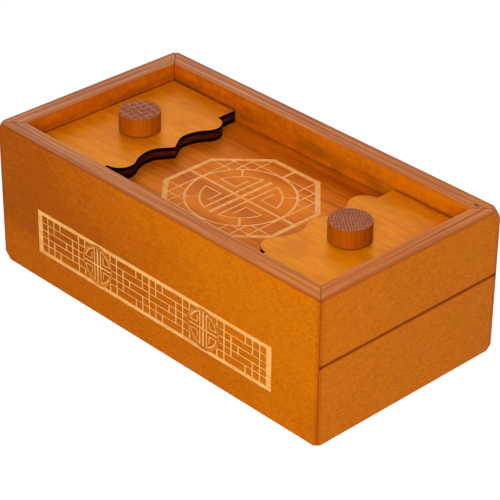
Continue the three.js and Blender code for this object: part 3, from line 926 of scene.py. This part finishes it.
class PUZZLEBOX_OT_stage(bpy.types.Operator):
    """Camera, white surroundings and a pale floor"""

    bl_idname = "puzzlebox.stage"
    bl_label = "Stage"

    def execute(self, context):
        scene = context.scene
        settings = scene.puzzle_stage
        lens = bpy.data.cameras.new("camera")
        lens.lens = settings.lens
        lens.sensor_width = 36
        lens.clip_start = 0.01
        lens.clip_end = 50
        camera = self.place(scene, "camera", lens, settings.eye, settings.turn)
        scene.camera = camera
        scene.view_settings.view_transform = "Standard"
        self.make_world(scene, settings)
        self.make_floor(settings)
        self.make_lamp(scene, "key_lamp", Vector((0.46, -0.54, 0.46)), 0.5, settings.key)
        back = self.make_lamp(scene, "back_lamp", Vector((-0.62, 0.6, 0.62)), 0.9, settings.back)
        back.visible_glossy = False
        return {"FINISHED"}

    def place(self, scene, name, data, location, turn):
        made = bpy.data.objects.new(name, data)
        scene.collection.objects.link(made)
        made.location = location
        made.rotation_euler = turn
        return made

    def make_lamp(self, scene, name, location, size, power):
        """A large soft square lamp that looks at the middle of the box."""
        light = bpy.data.lights.new(name, "AREA")
        light.size = size
        light.energy = power
        lamp = self.place(scene, name, light, location, location.to_track_quat("Z", "Y").to_euler())
        lamp.visible_camera = False
        return lamp

    def make_world(self, scene, settings):
        """White to the camera and in reflections, and a plain level of light on the box."""
        world = bpy.data.worlds.new("surroundings")
        scene.world = world
        world.use_nodes = True
        sky = Nodes(world.node_tree)
        background = sky.tree.nodes["Background"]
        sky.feed(background.inputs["Color"], WHITE)
        sky.feed(background.inputs["Strength"], sky.ramp(sky.seen(), 0.0, 1.0, settings.sky, 1.0))

    def make_floor(self, settings):
        shape = bmesh.new()
        bmesh.ops.create_grid(shape, x_segments=1, y_segments=1, size=settings.floor)
        floor = new_object("floor", shape)
        floor.data.materials.append(self.floor_finish(settings))

    def floor_finish(self, settings):
        """Matt, and white where it is seen, apart from the box's shadow."""
        finish = Finish("floor", gloss=0.0)
        seen = finish.seen()
        finish.set("Roughness", 1.0)
        finish.set("Base Color", finish.mix(seen, settings.floor_grey, WHITE))
        under_box = 1.5 * MM
        beyond = [
            finish.ramp(abs(finish.along(axis)), edge, edge + 0.1 * MM)
            for axis, edge in (("X", case_high.x - under_box), ("Y", case_high.y - under_box))
        ]
        bare_floor = (beyond[0] + beyond[1]).clamped()
        blend = finish.node("ShaderNodeMixShader", None, {
            "Fac": seen * bare_floor * (1 - settings.shadow),
            1: Value(finish, finish.shader.outputs["BSDF"]),
            2: finish.node("ShaderNodeEmission", None, {"Color": WHITE, "Strength": settings.glow}),
        })
        finish.feed(finish.tree.nodes["Material Output"].inputs["Surface"], blend)
        return finish.material


class PUZZLEBOX_OT_walls(bpy.types.Operator):
    """The four walls of the case and the drawer front, eased and stained"""

    bl_idname = "puzzlebox.walls"
    bl_label = "Walls"

    def execute(self, context):
        case = context.scene.puzzle_case
        finishes = self.make_finishes(case)
        boards = (
            ("near_side_board", "near_side_wall", "case", NEAR, "X"),
            ("far_side_board", "far_side_wall", "case", -NEAR, "X"),
            ("left_end_board", "left_end_wall", "case", Vector((-1, 0, 0)), "Y"),
            ("right_end_board", "right_end_wall", "case", Vector((1, 0, 0)), "Y"),
            ("drawer_front_board", "drawer_front", "drawer", Vector((1, 0, 0)), "Y"),
        )
        for name, node, body, outward, run in boards:
            shape = merged_copy(node)
            self.ease_board(shape, case, outward, node)
            choose_finishes(shape, lambda middle, normal: self.choose(middle, normal, outward))
            piece = make_piece(name, shape, body, finishes[run], node)
            combine(piece, "INTERSECT", [outer_block(case)])
            settle_normals(piece)
        return {"FINISHED"}

    def make_finishes(self, case):
        """The finishes of the boards that run along the box and across it."""
        made = {}
        for seed, (run, across, name) in enumerate((("X", "Y", "along"), ("Y", "X", "across"))):
            made[run] = (
                outer_stain("outer_stain_" + name, run, case, 4.0 + seed),
                rim_finish("rim_plies_" + name, across, run, case, 2.0 + seed),
                inner_stain("inner_stain_" + name, run, case, 7.0 + seed),
                bare_wood("bare_wall_" + name, run, case, 9.0 + seed),
                scorched_joint("scorched_joint_" + name, case, 5.0 + seed),
            )
        return made

    def ease_board(self, shape, case, outward, node):
        """Eases the edges that the outer block leaves alone, and lowers the drawer's front."""
        rim = [edge for edge in edges_between(shape, facing(UP), facing(-outward))
               if edge.verts[0].co.z > rim_height - MM]
        if rim:
            ease(shape, rim, case.rim_ease)
        if node == "near_side_wall":
            self.close_mitre(shape)
        self.square_outside(shape, outward)
        if node == "drawer_front":
            for v in shape.verts:
                v.co.z = case.front_gap if v.co.z < MM else v.co.z
        way = {"right_end_wall": -1, "drawer_front": 1}.get(node)
        if way:
            ease(shape, edges_between(shape, facing(UP * way), facing(outward)), case.split_ease)

    def square_outside(self, shape, outward):
        """Draws the board's rounded edges out to its outer plane. The outer block rounds them again."""
        rounded, beside_mitre = 1.5 * MM, 6 * MM
        across = 0 if outward.x else 1
        run = 1 - across
        for v in shape.verts:
            reach = case_high[across] - v.co[across] * outward[across]
            if reach < rounded:
                v.co[across] += reach * outward[across]
                if case_high[run] - abs(v.co[run]) < beside_mitre:
                    v.co[run] += math.copysign(reach, v.co[run])

    def close_mitre(self, shape):
        """Moves the near board's right mitre face a little towards the end boards."""
        gap, thin = 0.1 * MM, 0.03 * MM
        slant = max(v.co.x + v.co.y for v in shape.verts)
        face = [v for v in shape.verts if slant - v.co.x - v.co.y < thin]
        bmesh.ops.translate(shape, verts=face, vec=(gap, 0, 0))

    def choose(self, middle, normal, outward):
        """The number of a face's finish, by where the face lies and which way it looks."""
        outer, rim, inner, bare, joint = range(5)
        out = normal.dot(outward)
        steep = 0.75 if out > 0 else 0.2
        if normal.z > steep and middle.z > rim_height - MM:
            return rim
        if out < -0.9 and middle.z > panel_top:
            return inner
        if abs(out) < 0.1 and abs(normal.z) > 0.9 and middle.z > rim_height / 4:
            return outer if abs(middle.z - split_level) < MM else joint
        if abs(out) < 0.9 and abs(normal.z) < 0.5:
            return outer if self.is_corner(middle) else joint
        return outer if out > -0.1 else bare

    def is_corner(self, middle):
        reach = 3.4 * MM
        return abs(middle.x) > case_high.x - reach and abs(middle.y) > case_high.y - reach


# The strip's lattice: a roundel stands so many columns from the middle, and each column beside a
# roundel has lines between these rows.
ROUNDEL_COLUMN = 8
ROWS = 5
COLUMNS = {
    2: ((0, 1), (4, 5)), 3: ((0, 5),), 4: ((1, 4),), 5: ((2, 3),),
    6: ((0, 1), (4, 5)), 7: ((0, 2), (3, 5)), 8: ((0, 5),),
}


class PUZZLEBOX_OT_strip(bpy.types.Operator):
    """The engraved lattice strip with its two roundels on the near side"""

    bl_idname = "puzzlebox.strip"
    bl_label = "Engraved strip"

    def execute(self, context):
        strip = context.scene.puzzle_strip
        piece = bpy.data.objects["near_side_board"]
        piece.modifiers.clear()
        pale = len(piece.data.materials)
        burnt, scorched_ring = pale + 1, pale + 2
        for name, middle, dark, seed in (
            ("engraved_strip", strip.pale, strip.pale_dark, 3.0),
            ("engraved_walls", strip.scorch, strip.scorch, 4.0),
            ("scorched_ring", strip.ring_tone, strip.ring_deep, 5.0),
        ):
            piece.data.materials.append(engraved_wood(name, middle, dark, seed))
        pattern = Pattern("strip_cutter", strip.depth)
        self.draw_lattice(pattern, strip)
        rings = Pattern("ring_cutter", strip.ring_depth)
        crossing = 0.8 * MM
        for way in WAYS:
            x = way * ROUNDEL_COLUMN * strip.pitch
            pattern.longevity_figure((x, 0), strip.figure, upright=MM, side=0.8 * MM, hook=0.62 * MM)
            pattern.bar(x - strip.figure, -crossing / 2, x + strip.figure, crossing / 2)
            rings.circle((x, 0), (strip.ring + strip.figure) / 2, strip.ring - strip.figure)
        place = (
            Matrix.Translation((strip.middle, case_low.y, strip.height))
            @ Matrix.Rotation(math.pi / 2, 4, "X") @ Matrix.Rotation(-math.radians(strip.slant), 4, "Z")
        )
        engrave(piece, rings, place, scorched_ring)
        engrave(piece, pattern, place, pale)
        scorch_walls(piece, (pale, scorched_ring), burnt, NEAR)
        settle_normals(piece)
        return {"FINISHED"}

    def draw_lattice(self, pattern, strip):
        """Border, level lines and columns, with a round gap for each roundel."""
        half_span, half_tall = strip.span / 2, strip.tall / 2
        inner_span, inner_tall = half_span - strip.end_border, half_tall - strip.long_border
        for way in WAYS:
            low, high = sorted((way * half_tall, way * inner_tall))
            pattern.bar(-half_span, low, half_span, high)
            left, right = sorted((way * half_span, way * inner_span))
            pattern.bar(left, -half_tall, right, half_tall)
        row = 2 * inner_tall / ROWS
        lap = strip.level / 2
        for step in range(1, ROWS):
            level = -inner_tall + step * row
            pattern.bar(-inner_span - lap, level - lap, inner_span + lap, level + lap)
        half_line = strip.upright / 2
        for roundel in (-ROUNDEL_COLUMN, ROUNDEL_COLUMN):
            for count, stretches in COLUMNS.items():
                for way in WAYS:
                    column = roundel + way * count
                    if column == 0 and roundel > 0:
                        continue  # the middle column is drawn with the left roundel
                    x = column * strip.pitch
                    for low, high in stretches:
                        pattern.bar(x - half_line, -inner_tall + low * row - lap,
                                    x + half_line, -inner_tall + high * row + lap)
            pattern.disc((roundel * strip.pitch, 0), strip.ring)
        pattern.join_strokes()


LATTICE = (11.3 * MM, 16.4 * MM, 21.2 * MM)  # how far the medallion's lattice lines lie from its middle


class PUZZLEBOX_OT_panel(bpy.types.Operator):
    """The panel between the plates with its engraved octagonal medallion"""

    bl_idname = "puzzlebox.panel"
    bl_label = "Medallion panel"

    def execute(self, context):
        scene = context.scene
        plates, case, medallion = scene.puzzle_plates, scene.puzzle_case, scene.puzzle_medallion
        shape = merged_copy("medallion_panel")
        ease(shape, edges_between(shape, facing(UP), is_upright), plates.ease)
        choose_finishes(shape, lambda middle, normal: 0 if normal.z > 0.3 else 1 if normal.z < -0.3 else 2)
        plies = plates.panel, plates.panel_deep, case.bare
        finishes = (
            figured_panel(plates),
            bare_wood("panel_underside", "X", case, 3.0),
            ply_edge("panel_edge", "Z", "Y", plies, case.ply * 0.8, 0.5, 0.4),
            engraved_wood("engraved_medallion", medallion.pale, medallion.pale_dark, 6.0),
            engraved_wood("medallion_walls", plates.panel_deep, plates.panel_deep, 8.0),
        )
        pale, burnt = 3, 4
        piece = make_piece("medallion_board", shape, "case", finishes, "medallion_panel")
        pattern = Pattern("medallion_cutter", medallion.depth)
        self.draw_medallion(pattern, medallion)
        place = Matrix.Translation((medallion.middle_x, medallion.middle_y, panel_top))
        engrave(piece, pattern, place, pale)
        scorch_walls(piece, (pale,), burnt, UP)
        settle_normals(piece)
        return {"FINISHED"}

    def draw_medallion(self, pattern, medallion):
        """Octagon, circle and lattice lines, with the round figure in the middle."""
        half = medallion.flats / 2
        inner = half - medallion.border
        line, ring = medallion.line, medallion.circle
        upright_line, level_line, lap = 1.4 * MM, 1.3 * MM, 0.3 * MM
        pattern.octagon(half / math.cos(math.pi / 8), medallion.border)
        pattern.circle((0, 0), ring, medallion.circle_line)
        for offset in LATTICE:
            low = math.sqrt(max(ring ** 2 - offset ** 2, 0))
            high = min(inner, inner * math.sqrt(2) - offset) + lap
            for way, rise in QUARTERS:
                start = 0 if offset > ring else rise * low
                x, top = way * offset, rise * high
                pattern.stroke((x, start), (x, top), line)
                pattern.stroke((start, x), (top, x), line * 0.8)
        for rise in WAYS:
            pattern.stroke((0, rise * ring), (0, rise * (inner + lap)), upright_line)
        pattern.stroke((-inner - lap, 0), (inner + lap, 0), level_line)
        slant = math.sqrt(0.5)
        near, far = (medallion.figure - lap) * slant, ring * slant
        for way, rise in QUARTERS:
            pattern.stroke((way * near, rise * near), (way * far, rise * far), line)
        pattern.longevity_figure((0, 0), medallion.figure, upright=1.8 * MM, side=1.2 * MM, hook=0.95 * MM)


class PUZZLEBOX_OT_plates(bpy.types.Operator):
    """The two slide plates with their charred brace edges"""

    bl_idname = "puzzlebox.plates"
    bl_label = "Slide plates"

    def execute(self, context):
        plates = context.scene.puzzle_plates
        charred = charred_edge(plates)
        for seed, side in enumerate(ENDS):
            node = side + "_slide_plate"
            shape = merged_copy(node)
            edges = edges_between(shape, lambda face: abs(face.normal.z) > 0.99, is_upright)
            ease(shape, [edge for edge in edges if edge.calc_face_angle_signed() > 0], plates.ease)
            choose_finishes(shape, lambda middle, normal: 0 if abs(normal.z) > 0.8 else 1)
            finishes = plate_honey(side + "_plate_honey", plates, 3.0 + 5 * seed), charred
            piece = make_piece(side + "_plate", shape, side + "_slide", finishes, node)
            settle_normals(piece)
        return {"FINISHED"}


# How far a knob's sawn end is turned, how much shade is painted on the knob's right, and the pitch and
# the weight of its saw marks both ways.
KNOBS = {
    "left": (0.15, 0.05, ((2.9, 1.0), (2.6, 0.9))),
    "right": (0.65, 0.17, ((2.4, 0.35), (1.1, 0.6))),
}


class PUZZLEBOX_OT_knobs(bpy.types.Operator):
    """The two knobs, turned from dowel and sawn off"""

    bl_idname = "puzzlebox.knobs"
    bl_label = "Knobs"

    def execute(self, context):
        knobs = context.scene.puzzle_knobs
        for seed, (side, (turn, right_shade, marks)) in enumerate(KNOBS.items()):
            low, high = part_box(side + "_knob")
            middle = (low + high) / 2
            shape = self.turn_knob(knobs, low, high, middle)
            choose_finishes(shape, lambda place, normal: 1 if normal.z > 0.8 else 0)
            finishes = (
                knob_side(side + "_knob_side", low, middle, right_shade, knobs, 4.0 + 3 * seed),
                knob_end_grain(side + "_knob_end_grain", middle, turn, marks, knobs, 2.0 + 5 * seed),
            )
            piece = make_piece(side + "_dowel_knob", shape, side + "_slide", finishes,
                               side + "_knob")
            settle_normals(piece)
        return {"FINISHED"}

    def turn_knob(self, knobs, low, high, middle):
        """Half of the knob's section, spun round its own axis."""
        radius = (high.x - low.x) / 2
        hole_end = low.z + knobs.hole_depth
        hole_point = hole_end + knobs.hole_tip
        section = (
            (0, high.z), (radius, high.z), (radius, low.z), (knobs.hole, low.z),
            (knobs.hole, hole_end), (knobs.hole * 0.3, hole_point), (0, hole_point),
        )
        shape = bmesh.new()
        points = [shape.verts.new((middle.x + reach, middle.y, z)) for reach, z in section]
        lines = [shape.edges.new(pair) for pair in zip(points, points[1:])]
        bmesh.ops.spin(shape, geom=[*points, *lines], cent=(middle.x, middle.y, 0), axis=UP,
                       angle=math.tau, steps=80, use_merge=True)
        bmesh.ops.remove_doubles(shape, verts=shape.verts, dist=WELD)
        bmesh.ops.recalc_face_normals(shape, faces=shape.faces)
        for level, width in ((high.z, knobs.top_ease), (low.z, knobs.base_ease)):
            ring = [
                edge for edge in shape.edges if all(
                    abs(v.co.z - level) < WELD and abs((v.co.xy - middle.xy).length - radius) < WELD
                    for v in edge.verts)
            ]
            ease(shape, ring, width, 3)
        return shape


class PUZZLEBOX_OT_inner_boards(bpy.types.Operator):
    """The hidden boards: bottom, divider, battens, keepers and the drawer's tray"""

    bl_idname = "puzzlebox.inner_boards"
    bl_label = "Inner boards"

    def execute(self, context):
        case = context.scene.puzzle_case
        groups = {
            "case": ("bottom_panel", "divider_panel"),
            "drawer": ("drawer_near_side", "drawer_far_side", "drawer_back", "drawer_floor"),
            "left_slide": ("left_batten", "left_keeper"),
            "right_slide": ("right_batten", "right_keeper"),
        }
        plies = case.bare, case.bare_dark, case.bare
        faces = {axis: bare_wood("bare_" + axis.lower(), axis, case, 11.0) for axis in "XY"}
        edges = {
            (thin, run): ply_edge("plies_" + (thin + run).lower(), thin, run, plies, case.ply, 0.35, 0.6)
            for thin in "XYZ" for run in "XY" if thin != run
        }
        for body, nodes in groups.items():
            for node in nodes:
                low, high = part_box(node)
                size = high - low
                thin = min("XYZ", key=lambda axis: size[AXES[axis]])
                run = max("XY", key=lambda axis: size[AXES[axis]])
                shape = merged_copy(node)
                ease(shape, self.long_edges(shape), case.inner_ease)
                choose_finishes(shape, lambda middle, normal: 0 if abs(normal[AXES[thin]]) > 0.7 else 1)
                piece = make_piece(node + "_board", shape, body,
                                   (faces[run], edges[thin, run]), node)
                settle_normals(piece)
        return {"FINISHED"}

    def long_edges(self, shape):
        """The outward sharp edges that are long enough to be eased."""
        shortest = 4 * MM
        return [
            edge for edge in shape.edges if len(edge.link_faces) == 2
            and edge.calc_face_angle_signed() > SHARP and edge.calc_length() > shortest
        ]


class PUZZLEBOX_OT_hardware(bpy.types.Operator):
    """Screws and magnets"""

    bl_idname = "puzzlebox.hardware"
    bl_label = "Hardware"

    def execute(self, context):
        metals = {
            "screw": plated_metal("zinc_screws", paint(186, 188, 192), 2.0),
            "magnet": plated_metal("nickel_magnets", paint(204, 202, 196), 5.0),
        }
        for node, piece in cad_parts.items():
            for kind, metal in metals.items():
                if kind in node:
                    piece.data.materials.clear()
                    piece.data.materials.append(metal)
        return {"FINISHED"}


OPERATORS = (
    PUZZLEBOX_OT_stage,
    PUZZLEBOX_OT_walls,
    PUZZLEBOX_OT_strip,
    PUZZLEBOX_OT_panel,
    PUZZLEBOX_OT_plates,
    PUZZLEBOX_OT_knobs,
    PUZZLEBOX_OT_inner_boards,
    PUZZLEBOX_OT_hardware,
)

SETTINGS = {
    "puzzle_case": CaseSettings,
    "puzzle_strip": StripSettings,
    "puzzle_medallion": MedallionSettings,
    "puzzle_plates": PlateSettings,
    "puzzle_knobs": KnobSettings,
    "puzzle_stage": StageSettings,
}


class PUZZLEBOX_PT_tools(bpy.types.Panel):
    """Lists the steps that dress the box, and its sizes and colours"""

    bl_idname = "PUZZLEBOX_PT_tools"
    bl_label = "Puzzle Box"
    bl_space_type = "VIEW_3D"
    bl_region_type = "UI"
    bl_category = "Puzzle Box"

    def draw(self, context):
        for operator in OPERATORS:
            self.layout.operator(operator.bl_idname)
        for name, group in SETTINGS.items():
            box = self.layout.box()
            settings = getattr(context.scene, name)
            for key in group.__annotations__:
                box.prop(settings, key)


CLASSES = (*SETTINGS.values(), *OPERATORS, PUZZLEBOX_PT_tools)


def register():
    for made in CLASSES:
        bpy.utils.register_class(made)
    for name, group in SETTINGS.items():
        setattr(bpy.types.Scene, name, bpy.props.PointerProperty(type=group))


def unregister():
    for name in SETTINGS:
        delattr(bpy.types.Scene, name)
    for made in reversed(CLASSES):
        bpy.utils.unregister_class(made)


def main():
    register()
    bpy.ops.puzzlebox.stage()
    bpy.ops.puzzlebox.walls()
    bpy.ops.puzzlebox.strip()
    bpy.ops.puzzlebox.panel()
    bpy.ops.puzzlebox.plates()
    bpy.ops.puzzlebox.knobs()
    bpy.ops.puzzlebox.inner_boards()
    bpy.ops.puzzlebox.hardware()


if __name__ == "__main__":
    main()
